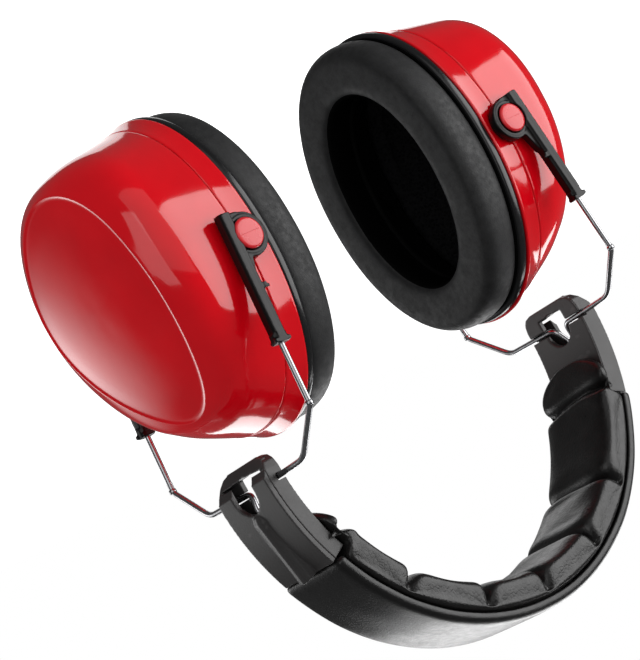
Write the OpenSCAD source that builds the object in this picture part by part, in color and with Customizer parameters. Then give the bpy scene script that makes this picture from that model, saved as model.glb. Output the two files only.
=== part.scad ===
// Earmuff hearing protector: two hard ear cups on a padded two-wire headband.
// Frame: +X to the right cup, +Y to the front, +Z to the crown of the headband.
// The origin lies midway between the cups, on the line through their pivots.

/* [Headband] */
// Outer radius of the headband arc
band_r = 81.8; // [78:0.1:88]
// Height of the arc's centre above the cup pivots
band_cz = 65.3; // [60:0.1:75]
// Width of the padded band
band_w = 31.6; // [28:0.2:36]
// Thickness of the crown pad
pad_t = 10.6; // [6:0.2:13]

/* [Spring wires] */
// Diameter of each spring wire
wire_d = 1.9; // [1.6:0.1:2.4]
// Spacing of the two wires along the crown
wire_gap = 3.2; // [2.8:0.1:5]
// Outward lean of the adjustment rods
rod_lean = 5.5; // [3:0.5:8]

/* [End covers] */
// Width of an end cover
end_w = 27.4; // [25:0.2:30]
// Thickness of an end cover, measured along the arc's radius
end_t = 7.8; // [7:0.1:9]
// Width of the window
window_w = 12; // [8:0.5:14]

/* [Ear cups] */
// Distance from the middle plane to a cup's pivots
pivot_x = 63; // [60:0.5:66]
// Half width of the cup's rim, front to back
rim_y = 38.6; // [36:0.1:38.7]
// Half height of the cup's rim
rim_z = 55.6; // [52:0.1:58]
// Thickness of the cup's wall
wall = 2.5; // [2:0.1:3]

/* [Cushions] */
// Distance from the middle plane to a cushion's sealing face
face_x = 37; // [34:0.5:40]
// Half width of the ear opening
ear_y = 22; // [18:0.5:24]
// Half height of the ear opening
ear_z = 35.7; // [30:0.5:38]

/* [Pivots] */
// Diameter of a pivot stud
stud_d = 6; // [4:0.5:7]
// Running clearance of the stud in the hanger, on the radius
pivot_clear = 0.06; // [0.02:0.01:0.1]
// Diameter of a button's head
button_d = 10.3; // [9:0.1:12]

/* [Hidden] */

red = [0.80, 0.01, 0.06];
satin_black = [0.10, 0.10, 0.11];
cover_grey = [0.27, 0.26, 0.26];
vinyl_black = [0.13, 0.13, 0.14];
foam_grey = [0.22, 0.22, 0.24];
steel = [0.78, 0.78, 0.80];

arc_fn = 180;
hole_fn = 48;
oval_fn = 48;
lap = 0.01;
far = 200;

// Layers of the band along the radius, from the outside in
cover_t = 2.2;
wire_r = wire_d / 2;
wire_lane_r = band_r - cover_t - wire_r - 0.15;
pad_top_r = wire_lane_r - wire_r - 0.15;
pad_low_r = pad_top_r - pad_t;
skin_t = 1.2;
lip_t = 2;

// Angles along the arc, from the right-hand horizontal
tip_a = -4.5;
nose_a = -1.5;
seam_a = 24.5;
pad_end_a = 12;
pad_wide_a = seam_a + 0.6;

// End covers
end_low_r = band_r - end_t;
plate_t = 1.9;
side_t = 1.8;
bar_x = 75.9;
bar_z = 68;
groove_play = 0.15;
tip_corner_r = 5;
nose_x = 81.5;
nose_z = 66.4;
nose_lean = 34;
window_rise = 0.6;
window_drop = 5.6;
ridge_x = 78.35;
ridge_z = 73.6;
ridge_lean = -10.5;
ridge_r = 4.6;
// Shape of the ridge's blunt nose: distance along it, and its share of the full size
ridge_nose = [[0, 0.5], [1.4, 0.82], [3.6, 1], [60, 1]];
half_gap = 0.05;
edge_t = 0.5;

// Adjustment rods, which the hangers slide on
rod_y = 41.4;
mouth_x = 72.3;
mouth_z = 34.4;
rod_in = 24;
rod_dir = [sin(rod_lean), 0, cos(rod_lean)];
mouth = [mouth_x, rod_y, mouth_z];
bend_z = 54.5;
bend = mouth + rod_dir * (bend_z - mouth_z) / cos(rod_lean);
stop_r = 1.45;
stop_l = 2.6;

// Route of a wire from its bend to the lane inside the band
shoulder = [75.8, 27.7, 67.4];
turn_y = 3.4;
lane_a = 9;
lane_step = 6;
bend_ease = 3;
turn_ease = 2.2;

// Hangers, from the cup side outwards along Y
eye_y0 = 39.3;
eye_y1 = 42.1;
bar_y1 = 43.7;
eye_r = 7.4;
bar_l = 43;
bar_w = 4.4;
bore_r = wire_r + 0.05;
collar_l = 3.2;
collar_w = 5.4;
bar_chamfer = 0.8;
collar_chamfer = 1.1;
bore_stop = 1.5;
// Outline of the web between eye and bar, in X and Z
web = [[59.5, -6.5], [69, -8], [71, 14], [68, 14], [65.4, 7]];
// Recess that lets the button's head turn beside the bar
recess_play = 0.25;
recess_y = eye_y1 + 0.05;

// Edge of the rim: its depth, how far its middle lies above the pivots, its squareness
rim_x = 54.3;
rim_rise = 0.4;
rim_e = 2.1;
// Cup stations: depth, half width, low end, high end, squareness
seam_x = 62.5;
cup_e = 2.4;
cup_stations = [
  [seam_x, 38.3, -52.8, 52.4, 2.15],
  [67, 38.35, -51.7, 50.4, 2.25],
  [74, 38.45, -50.5, 47.0, 2.35],
  [80, 38.5, -49.6, 43.0, cup_e],
  [86.5, 38.2, -48.6, 35.6, cup_e],
  [91, 36.2, -47.0, 25.5, cup_e],
  [94.3, 32.4, -44.6, 14.0, 2.3],
  [96, 26.5, -39.0, 0, 2.2]
];
// How far each station of the inner wall lies below the outer one
floor_dx = [0, 0, -0.3, -0.7, -1.5, -2.0, -2.3, -wall];
// Sound-absorbing foam
liner_t = 6;
liner_play = 0.4;
liner_station = 2;
boss_r = 6;
boss_y0 = 34;
boss_y1 = 39.2;
notch_play = 0.15;

// Cushion and its backplate
cushion_e = 2.05;
cushion_skin = 1;
cushion_play = 0.1;
ear_in = [ear_y, ear_z];
// Half width and half height of the cushion at its face, at its fullest and at its back
face_out = [33, 48.8];
full_out = [36.9, 53.2];
back_out = [36.6, 52.8];
full_dx = 5;
// Step from the face's edge to the cushion's rounded shoulder: depth, then width and height
round_dx = 1.6;
round_out = [2.6, 2.8];
plate_x0 = 50.9;
lip_x1 = 56.8;

function unit(v) = v / norm(v);

// A rounded oval in a plane of constant X, from its half width and its two ends
function oval(x, hy, z0, z1, e) = [
  for (i = [0:oval_fn - 1])
    let (a = 360 * i / oval_fn, c = cos(a), s = sin(a))
    [
      x,
      hy * sign(c) * pow(abs(c), 2 / e),
      (z0 + z1) / 2 + (z1 - z0) / 2 * sign(s) * pow(abs(s), 2 / e)
    ]
];

// The same station, drawn in by t all round and moved along X by dx
function inset(s, t, dx = 0) = [s[0] + dx, s[1] - t, s[2] + t, s[3] - t, s[4]];

// Skin through a list of stations, closed by flat ends
module loft(stations) {
  n = oval_fn;
  m = len(stations);
  pts = [for (s = stations) each oval(s[0], s[1], s[2], s[3], s[4])];
  ends = [[for (i = [n - 1:-1:0]) i], [for (i = [0:n - 1]) (m - 1) * n + i]];
  walls = [for (k = [0:m - 2]) for (i = [0:n - 1])
    let (j = (i + 1) % n)
    [k * n + i, k * n + j, (k + 1) * n + j, (k + 1) * n + i]];
  polyhedron(pts, concat(ends, walls), convexity = 6);
}

// Skin through a closed loop of stations, which makes an oval ring
module ring(stations) {
  n = oval_fn;
  m = len(stations);
  pts = [for (s = stations) each oval(s[0], s[1], s[2], s[3], s[4])];
  walls = [for (k = [0:m - 1]) for (i = [0:n - 1])
    let (j = (i + 1) % n, q = (k + 1) % m)
    [k * n + i, k * n + j, q * n + j, q * n + i]];
  polyhedron(pts, walls, convexity = 6);
}

// Flat oval, for plates that lie in a plane of constant X
module oval_plate(x0, x1, hy, hz, e = 2.1) {
  outline = [for (p = oval(0, hy, -hz, hz, e)) [p[1], p[2]]];
  translate([x0, 0, 0])
    rotate([90, 0, 90])
      linear_extrude(x1 - x0)
        polygon(outline);
}

// A profile of radius and height, swept along the headband's arc
module along_band(a0, a1)
  translate([0, 0, band_cz])
    rotate([90, 0, 0])
      rotate([0, 0, a0])
        rotate_extrude(angle = a1 - a0, $fn = arc_fn)
          children();

module profile(r0, r1, y0, y1)
  translate([r0, y0])
    square([r1 - r0, y1 - y0]);

// Rectangle with its four corners cut back by c, centred on the origin
module eased_square(w, h, c) {
  x = w / 2;
  y = h / 2;
  polygon([
    [x - c, -y], [x, c - y], [x, y - c], [x - c, y],
    [c - x, y], [-x, y - c], [-x, c - y], [c - x, -y]
  ]);
}

module left() mirror([1, 0, 0]) children();
module rear() mirror([0, 1, 0]) children();

// ---- Headband ----

module band_outer_cover()
  color(vinyl_black)
    along_band(seam_a, 180 - seam_a) {
      profile(band_r - cover_t, band_r, -band_w / 2, band_w / 2);
      for (s = [-1, 1])
        profile(pad_top_r, band_r - cover_t + lap,
                s * (band_w - lip_t) / 2 - lip_t / 2, s * (band_w - lip_t) / 2 + lip_t / 2);
    }

module band_pad_cover() {
  pad_w = band_w - 0.4;
  low_t = end_low_r - 0.3 - pad_low_r;
  color(vinyl_black)
    difference() {
      union() {
        along_band(pad_end_a, 180 - pad_end_a)
          translate([pad_low_r + low_t / 2, 0])
            eased_square(low_t, pad_w, 1.8);
        along_band(pad_wide_a, 180 - pad_wide_a)
          profile(pad_low_r + low_t / 2, pad_top_r - 0.05, -pad_w / 2, pad_w / 2);
      }
      along_band(pad_wide_a + 1.5, 180 - pad_wide_a - 1.5)
        profile(pad_low_r + skin_t, pad_top_r + 1, -pad_w / 2 + skin_t, pad_w / 2 - skin_t);
    }
}

module band_pad_foam() {
  foam_w = band_w - 0.4 - 2 * skin_t - 0.2;
  color(foam_grey)
    along_band(pad_wide_a + 1.6, 180 - pad_wide_a - 1.6)
      profile(pad_low_r + skin_t + 0.1, pad_top_r - 0.1, -foam_w / 2, foam_w / 2);
}

// ---- Spring wires ----

// Curve that rounds the corner p over a length d of each leg
function corner(a, p, b, d, n = 4) =
  let (u = p + unit(a - p) * d, v = p + unit(b - p) * d)
  [for (i = [0:n]) let (t = i / n) u * pow(1 - t, 2) + p * 2 * t * (1 - t) + v * t * t];

function on_lane(a, y) = [wire_lane_r * cos(a), y, band_cz + wire_lane_r * sin(a)];
function flip(path) = [for (i = [len(path) - 1:-1:0]) [-path[i][0], path[i][1], path[i][2]]];

// The right-hand half of the front wire, from its stop to the start of the lane
function wire_half(y) =
  let (
    turn = [bar_x, turn_y, bar_z],
    rise = on_lane(lane_a - 3, y)
  )
  concat(
    [bend + rod_dir * 0.3],
    corner(bend, shoulder, turn, bend_ease),
    corner(shoulder, turn, rise, turn_ease),
    [rise]
  );

function wire_path(y) =
  let (half = wire_half(y))
  concat(half, [for (a = [lane_a:lane_step:180 - lane_a]) on_lane(a, y)], flip(half));

// Round bar of radius r along a path
module tube(path, r, sides = 8) {
  m = len(path);
  lean = unit([1, 1, 1]);
  pts = [for (k = [0:m - 1])
    let (
      t = unit(path[min(k + 1, m - 1)] - path[max(k - 1, 0)]),
      u = unit(cross(t, lean)),
      v = cross(t, u)
    )
    for (i = [0:sides - 1])
      let (a = 360 * i / sides)
      path[k] + r * (cos(a) * u - sin(a) * v)];
  ends = [[for (i = [sides - 1:-1:0]) i], [for (i = [0:sides - 1]) (m - 1) * sides + i]];
  walls = [for (k = [0:m - 2]) for (i = [0:sides - 1])
    let (j = (i + 1) % sides)
    [k * sides + i, k * sides + j, (k + 1) * sides + j, (k + 1) * sides + i]];
  polyhedron(pts, concat(ends, walls), convexity = 8);
}

// Places its children at p with their Z along the right-hand rod
module at_rod(p)
  translate(p)
    rotate([0, rod_lean, 0])
      children();

// The straight rod that runs in a hanger, and the stop ring at its bend
module rod() {
  rod_l = norm(bend - mouth) + rod_in - 0.3;
  at_rod(mouth - rod_dir * rod_in)
    cylinder(r = wire_r, h = rod_l, $fn = hole_fn);
  at_rod(bend - rod_dir * stop_l / 2)
    cylinder(r = stop_r, h = stop_l, $fn = hole_fn);
}

module spring_wire()
  color(steel) {
    tube(wire_path(wire_gap / 2), wire_r);
    rod();
    left() rod();
  }

module front_spring_wire() spring_wire();
module rear_spring_wire() rear() spring_wire();

// ---- End covers ----

// Everything that is cut from both halves of a right-hand end cover
module end_cuts() {
  // sloping nose
  translate([nose_x, -far / 2, nose_z])
    rotate([0, nose_lean, 0])
      translate([0, 0, -far])
        cube([far, far, far]);
  // eased corners of the nose
  low_z = band_cz + end_low_r * sin(tip_a);
  ease = [for (a = [0:30:90]) tip_corner_r * [1.002 - cos(a), 1 - sin(a)]];
  for (s = [-1, 1])
    translate([0, s * end_w / 2, low_z])
      mirror([0, s > 0 ? 0 : 1, 0])
        rotate([90, 0, 90])
          linear_extrude(far)
            polygon(concat(
              [[1, -1], [1, tip_corner_r]],
              [for (e = ease) [-e[0], e[1]]],
              [[-tip_corner_r, -1]]
            ));
  // window, with a round crown end
  translate([0, 0, bar_z + window_rise])
    rotate([90, 0, 90])
      linear_extrude(far) {
        translate([-window_w / 2, -window_drop])
          square([window_w, window_drop]);
        scale(window_w / 2)
          circle(1, $fn = hole_fn);
      }
  // groove that the cross bars of the wires lie in
  translate([0, -far / 2, bar_z - wire_r - groove_play])
    cube([bar_x + wire_r + groove_play, far, wire_d + 2 * groove_play]);
}

// Straight ridge with a blunt nose, which gives the wires room where the cover curves away
module ridge() {
  crest = [for (a = [90:-22.5:-90]) ridge_r * [cos(a), sin(a)]];
  n = len(crest);
  m = len(ridge_nose);
  pts = [for (s = ridge_nose) for (c = crest) [s[1] * c[0], s[1] * c[1], s[0]]];
  ends = [[for (i = [n - 1:-1:0]) i], [for (i = [0:n - 1]) (m - 1) * n + i]];
  walls = [for (k = [0:m - 2]) for (i = [0:n - 1])
    let (j = (i + 1) % n)
    [k * n + i, k * n + j, (k + 1) * n + j, (k + 1) * n + i]];
  intersection() {
    translate([ridge_x, 0, ridge_z])
      rotate([0, ridge_lean, 0])
        polyhedron(pts, concat(ends, walls), convexity = 4);
    along_band(3, seam_a)
      profile(band_r - plate_t / 2, band_r + ridge_r, -ridge_r - 1, ridge_r + 1);
  }
}

// Outer half: the face, the front wall and the nose block
module end_cover_outer()
  color(cover_grey)
    difference() {
      union() {
        along_band(tip_a, seam_a) {
          profile(band_r - plate_t, band_r, -end_w / 2, end_w / 2);
          profile(end_low_r + edge_t, band_r - plate_t + lap, -end_w / 2, -end_w / 2 + side_t);
        }
        along_band(tip_a, nose_a)
          profile(end_low_r + plate_t + half_gap, band_r - plate_t + 2 * lap,
                  -end_w / 2, end_w / 2 - side_t - half_gap);
        ridge();
      }
      end_cuts();
    }

// Inner half: the plate under the pad and the rear wall
module end_cover_inner()
  color(cover_grey)
    difference() {
      along_band(tip_a, seam_a) {
        profile(end_low_r, end_low_r + plate_t, -end_w / 2 + side_t + half_gap, end_w / 2);
        profile(end_low_r, end_low_r + edge_t - half_gap, -end_w / 2, end_w / 2);
        profile(end_low_r + plate_t - lap, band_r - plate_t - half_gap, end_w / 2 - side_t, end_w / 2);
      }
      end_cuts();
    }

// ---- Hangers ----

// Right front hanger: a bored slider bar with an eye for the pivot stud
module hanger() {
  eye_hole_r = stud_d / 2 + pivot_clear;
  bar_c = (eye_y0 + bar_y1) / 2;
  bar_top = [mouth[0], bar_c, mouth[2]] - rod_dir * bar_l;
  color(satin_black)
    difference() {
      union() {
        at_rod(bar_top)
          linear_extrude(bar_l)
            eased_square(bar_w, bar_y1 - eye_y0, bar_chamfer);
        at_rod(bar_top + rod_dir * (bar_l - collar_l))
          linear_extrude(collar_l)
            eased_square(collar_w, bar_y1 - eye_y0 - 0.1, collar_chamfer);
        translate([pivot_x, eye_y1, 0])
          rotate([90, 0, 0])
            cylinder(r = eye_r, h = eye_y1 - eye_y0, $fn = 96);
        translate([0, eye_y1, 0])
          rotate([90, 0, 0])
            linear_extrude(eye_y1 - eye_y0)
              polygon(web);
      }
      at_rod(mouth - rod_dir * (bar_l - bore_stop))
        cylinder(r = bore_r, h = bar_l, $fn = hole_fn);
      translate([pivot_x, eye_y1 + 1, 0])
        rotate([90, 0, 0])
          cylinder(r = eye_hole_r, h = eye_y1 - eye_y0 + 2, $fn = 96);
      translate([pivot_x, recess_y, 0])
        rotate([-90, 0, 0])
          cylinder(r = button_d / 2 + recess_play, h = bar_y1, $fn = 96);
    }
}

// ---- Ear cups ----

// Places a profile of radius and distance along Y on the right front pivot
module on_pivot()
  translate([pivot_x, 0, 0])
    rotate([-90, 0, 0])
      rotate_extrude($fn = 96)
        children();

// Push-in button: barbed stud, shoulder and low domed head
module button() {
  head_t = 1.6;
  head_r = button_d / 2;
  head_y = eye_y1 + 0.1;
  edge_r = 0.8;
  rise = 0.6;
  stud_r = stud_d / 2;
  barb_r = stud_r + 0.4;
  tip_r = stud_r - 0.6;
  tip_y = boss_y0 - 2;
  barb_y0 = boss_y0 - 0.7;
  barb_y1 = boss_y0 - 0.1;
  dome = [for (i = [0:6])
    let (a = 90 * i / 6)
    [head_r - edge_r + edge_r * cos(a), head_y + rise + rise * sin(a)]];
  color(red)
    on_pivot()
      polygon(concat(
        [[0, tip_y], [tip_r, tip_y], [barb_r, barb_y0], [barb_r, barb_y1],
         [stud_r, barb_y1], [stud_r, head_y], [head_r, head_y]],
        dome,
        [[0, head_y + head_t]]
      ));
}

module cup_shell() {
  outer = cup_stations;
  last = len(outer) - 1;
  inner = [for (k = [0:last]) inset(outer[k], wall, floor_dx[k])];
  skin = concat([for (k = [last:-1:0]) outer[k]], inner);
  color(red)
    difference() {
      union() {
        loft(skin);
        for (s = [-1, 1])
          translate([pivot_x, s * (boss_y0 + boss_y1) / 2, 0])
            rotate([90, 0, 0])
              cylinder(r = boss_r, h = boss_y1 - boss_y0, center = true, $fn = 96);
      }
      translate([pivot_x, 0, 0])
        rotate([90, 0, 0])
          cylinder(r = stud_d / 2 + 0.02, h = far, center = true, $fn = 96);
    }
}

// Red ring between the cup shell and the backplate, notched round the pivot bosses
module cup_rim() {
  low = [rim_x, rim_y, rim_rise - rim_z, rim_rise + rim_z, rim_e];
  high = inset(cup_stations[0], 0, -0.02);
  color(red)
    difference() {
      ring([low, high, inset(high, wall), inset(low, wall)]);
      translate([pivot_x, 0, 0])
        rotate([90, 0, 0])
          cylinder(r = boss_r + notch_play, h = far, center = true, $fn = 96);
    }
}

// Flat oval plate behind the cushion, with a lip that fits inside the rim
module backplate() {
  set_back = 0.5;
  lip_y = rim_y - wall - 1;
  lip_z = rim_z - wall - 2.2;
  lip_w = 2;
  color(satin_black)
    difference() {
      union() {
        oval_plate(plate_x0, rim_x - 0.02, rim_y - set_back, rim_z - set_back);
        oval_plate(rim_x - set_back, lip_x1, lip_y, lip_z);
      }
      oval_plate(plate_x0 - 1, rim_x + 0.001, ear_y + 2, ear_z + 2);
      oval_plate(rim_x, lip_x1 + 1, lip_y - lip_w, lip_z - lip_w);
    }
}

// Oval station of a cushion at depth x, from its half width and half height
function pad_station(x, size) = [x, size[0], -size[1], size[1], cushion_e];

// Thin soft skin, open at the back, where the backplate closes it
module cushion_cover() {
  t = cushion_skin * [1, 1];
  back_x = plate_x0 - 0.02;
  full_x = face_x + full_dx;
  color(vinyl_black)
    ring([
      pad_station(face_x, face_out),
      pad_station(face_x + round_dx, face_out + round_out),
      pad_station(full_x, full_out),
      pad_station(back_x, back_out),
      pad_station(back_x, back_out - t),
      pad_station(full_x, full_out - t),
      pad_station(face_x + cushion_skin, face_out - t),
      pad_station(face_x + cushion_skin, ear_in + 2 * t + t),
      pad_station(back_x, ear_in + t + t),
      pad_station(back_x, ear_in + t),
      pad_station(face_x + full_dx - 1, ear_in),
      pad_station(face_x, ear_in + 2 * t)
    ]);
}

module cushion_foam() {
  in = (cushion_skin + cushion_play) * [1, 1];
  out = cushion_skin * [1, 1];
  back_x = plate_x0 - 0.05;
  front_x = face_x + cushion_skin + 2 * cushion_play;
  color(foam_grey)
    ring([
      pad_station(front_x, face_out - in),
      pad_station(face_x + full_dx, full_out - in - cushion_play * [1, 1]),
      pad_station(back_x, back_out - in),
      pad_station(back_x, ear_in + out + in),
      pad_station(front_x, ear_in + 2 * out + in + cushion_play * [1, 1])
    ]);
}

// Sound-absorbing foam that lines the bottom of the cup
module foam_liner() {
  in = wall + liner_play;
  back = [for (s = [liner_station:len(cup_stations) - 1]) inset(cup_stations[s], in, -in)];
  last = len(back) - 1;
  front = [for (k = [0:last]) inset(back[k], liner_t, k == 0 ? 0 : -liner_t * k / last)];
  color(foam_grey)
    loft(concat([for (k = [last:-1:0]) back[k]], front));
}

band_outer_cover();
band_pad_cover();
band_pad_foam();
front_spring_wire();
rear_spring_wire();
end_cover_outer();  // right_end_cover_outer
end_cover_inner();  // right_end_cover_inner
left() rear() end_cover_outer();  // left_end_cover_outer
left() rear() end_cover_inner();  // left_end_cover_inner
hanger();  // right_front_hanger
rear() hanger();  // right_rear_hanger
left() hanger();  // left_front_hanger
left() rear() hanger();  // left_rear_hanger
cup_shell();  // right_cup_shell
left() cup_shell();  // left_cup_shell
cup_rim();  // right_cup_rim
left() cup_rim();  // left_cup_rim
backplate();  // right_backplate
left() backplate();  // left_backplate
cushion_cover();  // right_cushion_cover
left() cushion_cover();  // left_cushion_cover
cushion_foam();  // right_cushion_foam
left() cushion_foam();  // left_cushion_foam
foam_liner();  // right_foam_liner
left() foam_liner();  // left_foam_liner
button();  // right_front_button
rear() button();  // right_rear_button
left() button();  // left_front_button
left() rear() button();  // left_rear_button
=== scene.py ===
import math

import bmesh
import bpy
from mathutils import Matrix, Vector, noise


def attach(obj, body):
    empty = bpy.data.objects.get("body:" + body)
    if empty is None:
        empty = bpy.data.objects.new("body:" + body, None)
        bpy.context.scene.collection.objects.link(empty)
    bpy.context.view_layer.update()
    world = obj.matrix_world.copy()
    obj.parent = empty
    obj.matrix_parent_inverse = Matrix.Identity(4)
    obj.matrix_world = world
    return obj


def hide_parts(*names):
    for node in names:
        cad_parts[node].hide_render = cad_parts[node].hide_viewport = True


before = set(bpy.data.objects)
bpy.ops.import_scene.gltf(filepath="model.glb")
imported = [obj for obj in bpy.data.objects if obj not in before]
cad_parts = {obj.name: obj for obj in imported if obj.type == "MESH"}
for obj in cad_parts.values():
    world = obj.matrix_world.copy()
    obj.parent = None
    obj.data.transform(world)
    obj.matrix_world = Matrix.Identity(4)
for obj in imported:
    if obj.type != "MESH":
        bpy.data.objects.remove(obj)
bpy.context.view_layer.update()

MM = 0.001
SIDES = {"right": 1, "left": -1}
ENDS = {"front": 1, "rear": -1}

# ---------------------------------------------------------------- main sizes, mm

BAND_CZ = 65.3         # height of the arc's centre
BAND_HALF = 15.8       # half width of the padded band
PAD_LOW_R = 66.8
WIRE_R = 0.95
WIRE_Y = 1.6           # each wire's distance from the middle of the band
LANE_R = 78.5          # radius of the wires inside the band
ROD_LEAN = math.radians(5.5)     # the rods lean outward towards the crown
ROD_DIR = Vector((math.sin(ROD_LEAN), 0, math.cos(ROD_LEAN)))
ROD_OUT = Vector((math.cos(ROD_LEAN), 0, -math.sin(ROD_LEAN)))
MOUTH = Vector((72.3, 41.4, 34.4))    # where the right front rod enters its hanger
BEND_Z = 54.5          # height of the wire's bend above the hanger
PIVOT_X = 63           # distance of the cups' pivot line from the middle
SEAM_A = 24.5          # angle where the end covers meet the band cover


# ---------------------------------------------------------------- camera

def place_camera():
    data = bpy.data.cameras.new("camera")
    data.lens = 130.18
    data.sensor_width = 36
    data.clip_start, data.clip_end = 0.05, 20
    cam = bpy.data.objects.new("camera", data)
    bpy.context.scene.collection.objects.link(cam)
    back = Vector((-0.649, 0.757, 0.074)).normalized()
    right = Vector((0.684, 0.537, 0.494))
    right = (right - back * right.dot(back)).normalized()
    up = back.cross(right)
    turn = Matrix((right, up, back)).transposed().to_4x4()
    cam.matrix_world = Matrix.Translation((-0.5262, 0.5893, 0.0895)) @ turn
    bpy.context.scene.camera = cam
    return right, up, back


CAM_RIGHT, CAM_UP, CAM_BACK = place_camera()


# ---------------------------------------------------------------- materials

class Nodes:
    """Short names for building one node tree."""

    def __init__(self, name):
        self.mat = bpy.data.materials.new(name)
        self.mat.use_nodes = True
        self.tree = self.mat.node_tree
        self.bsdf = self.tree.nodes["Principled BSDF"]
        coords = self.tree.nodes.new("ShaderNodeTexCoord")
        self.place = coords.outputs["Object"]
        self.height = None

    def set(self, **values):
        for key, value in values.items():
            self.bsdf.inputs[key.replace("_", " ")].default_value = value

    def link(self, a, b):
        self.tree.links.new(a, b)

    def stretched(self, x, y, z):
        node = self.tree.nodes.new("ShaderNodeMapping")
        node.inputs["Scale"].default_value = (x, y, z)
        self.link(self.place, node.inputs["Vector"])
        return node.outputs["Vector"]

    def noise(self, scale, detail=3, rough=0.55, where=None):
        node = self.tree.nodes.new("ShaderNodeTexNoise")
        node.inputs["Scale"].default_value = scale
        node.inputs["Detail"].default_value = detail
        node.inputs["Roughness"].default_value = rough
        self.link(where or self.place, node.inputs["Vector"])
        return node.outputs["Fac"]

    def cells(self, scale, feature="F1", out="Distance", where=None):
        node = self.tree.nodes.new("ShaderNodeTexVoronoi")
        node.feature = feature
        node.inputs["Scale"].default_value = scale
        self.link(where or self.place, node.inputs["Vector"])
        return node.outputs[out]

    def ramp(self, value, stops):
        node = self.tree.nodes.new("ShaderNodeValToRGB")
        while len(node.color_ramp.elements) < len(stops):
            node.color_ramp.elements.new(0.5)
        for element, (place, shade) in zip(node.color_ramp.elements, stops):
            element.position = place
            element.color = (*shade, 1) if hasattr(shade, "__len__") else (shade, shade, shade, 1)
        self.link(value, node.inputs["Fac"])
        return node.outputs["Color"]

    def edges(self, low=0.5, high=0.56):
        """1 on convex edges, 0 elsewhere."""
        node = self.tree.nodes.new("ShaderNodeNewGeometry")
        return self.ramp(node.outputs["Pointiness"], [(low, 0.0), (high, 1.0)])

    def mix(self, fac, a, b, mode="MIX"):
        node = self.tree.nodes.new("ShaderNodeMix")
        node.data_type = "RGBA"
        node.blend_type = mode
        for socket, value in ((node.inputs[0], fac), (node.inputs[6], a), (node.inputs[7], b)):
            if hasattr(value, "is_output"):
                self.link(value, socket)
            elif hasattr(value, "__len__"):
                socket.default_value = (*value, 1)
            else:
                socket.default_value = value
        return node.outputs[2]

    def bump(self, value, depth, strength=1.0):
        node = self.tree.nodes.new("ShaderNodeBump")
        node.inputs["Distance"].default_value = depth * MM
        node.inputs["Strength"].default_value = strength
        self.link(value, node.inputs["Height"])
        if self.height is not None:
            self.link(self.height, node.inputs["Normal"])
        self.height = node.outputs["Normal"]
        self.link(self.height, self.bsdf.inputs["Normal"])

    def color(self, value):
        self.link(value, self.bsdf.inputs["Base Color"])

    def rough(self, value):
        self.link(value, self.bsdf.inputs["Roughness"])


def glossy_red(name, base, rough):
    """Injection-moulded gloss plastic: faint orange peel, fine handling haze."""
    n = Nodes(name)
    deep = tuple(c * 0.86 for c in base)
    n.color(n.mix(n.ramp(n.noise(26, 4), [(0.35, 0.0), (0.65, 1.0)]), deep, base))
    n.rough(n.ramp(n.noise(60, 5, 0.7), [(0.3, rough * 0.7), (0.75, rough * 1.5)]))
    n.set(Coat_Weight=0.35, Coat_Roughness=0.03, IOR=1.5)
    n.bump(n.noise(190, 2), 0.012)
    n.bump(n.noise(900, 3, 0.6), 0.0025)
    return n.mat


def moulded(name, base, rough, grain, depth, worn=1.8, gloss=0.5):
    """Black moulded plastic with a fine spark-eroded grain and paler worn edges."""
    n = Nodes(name)
    tint = n.mix(n.ramp(n.noise(70, 4), [(0.3, 0.0), (0.7, 1.0)]), tuple(c * 0.8 for c in base), base)
    pale = tuple(min(1, c * worn + 0.004) for c in base)
    n.color(n.mix(n.edges(), tint, pale))
    n.rough(n.ramp(n.noise(140, 4, 0.7), [(0.25, rough * 0.85), (0.8, rough * 1.2)]))
    n.set(Specular_IOR_Level=gloss)
    n.bump(n.cells(grain, "SMOOTH_F1"), depth)
    n.bump(n.noise(grain * 2.1, 3, 0.6), depth * 0.6)
    return n.mat


def leather(name, base, rough, grain, depth, sheen):
    """Coated leatherette: pebble grain, fine pores, painted shade in the valleys."""
    n = Nodes(name)
    warp = n.noise(grain * 0.3, 3)
    pebble = n.cells(grain, "DISTANCE_TO_EDGE")
    # the grain's valleys are darkened: painted shade
    shade = n.ramp(pebble, [(0.0, tuple(c * 0.6 for c in base)), (0.25, base)])
    n.color(n.mix(n.ramp(warp, [(0.35, 0.0), (0.7, 1.0)]), shade, tuple(c * 1.35 for c in base)))
    n.rough(n.ramp(n.noise(grain * 0.5, 4), [(0.3, rough * 0.82), (0.7, rough * 1.15)]))
    n.set(Sheen_Weight=sheen, Sheen_Roughness=0.5)
    n.bump(n.ramp(pebble, [(0.0, 0.0), (0.22, 1.0)]), depth)
    n.bump(n.noise(grain * 3, 4, 0.6), depth * 0.7)
    return n.mat


def drawn_steel(name):
    """Bright drawn spring wire with lengthwise die lines."""
    n = Nodes(name)
    streak = n.noise(30, 3, 0.7, n.stretched(40, 40, 4))
    n.color(n.ramp(streak, [(0.3, (0.34, 0.34, 0.36)), (0.7, (0.60, 0.60, 0.61))]))
    n.rough(n.ramp(n.noise(400, 4), [(0.3, 0.16), (0.7, 0.28)]))
    n.set(Metallic=1.0)
    n.bump(streak, 0.004)
    return n.mat


def open_foam(name, base):
    """Open-cell acoustic foam, its pores darkened as painted shade."""
    n = Nodes(name)
    cell = n.cells(900, "F1")
    # pores darkened: painted shade
    n.color(n.ramp(cell, [(0.1, tuple(c * 0.25 for c in base)), (0.6, base)]))
    n.set(Roughness=0.95, Specular_IOR_Level=0.1)
    n.bump(cell, 0.35)
    n.bump(n.noise(160, 4), 0.5)
    return n.mat


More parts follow.
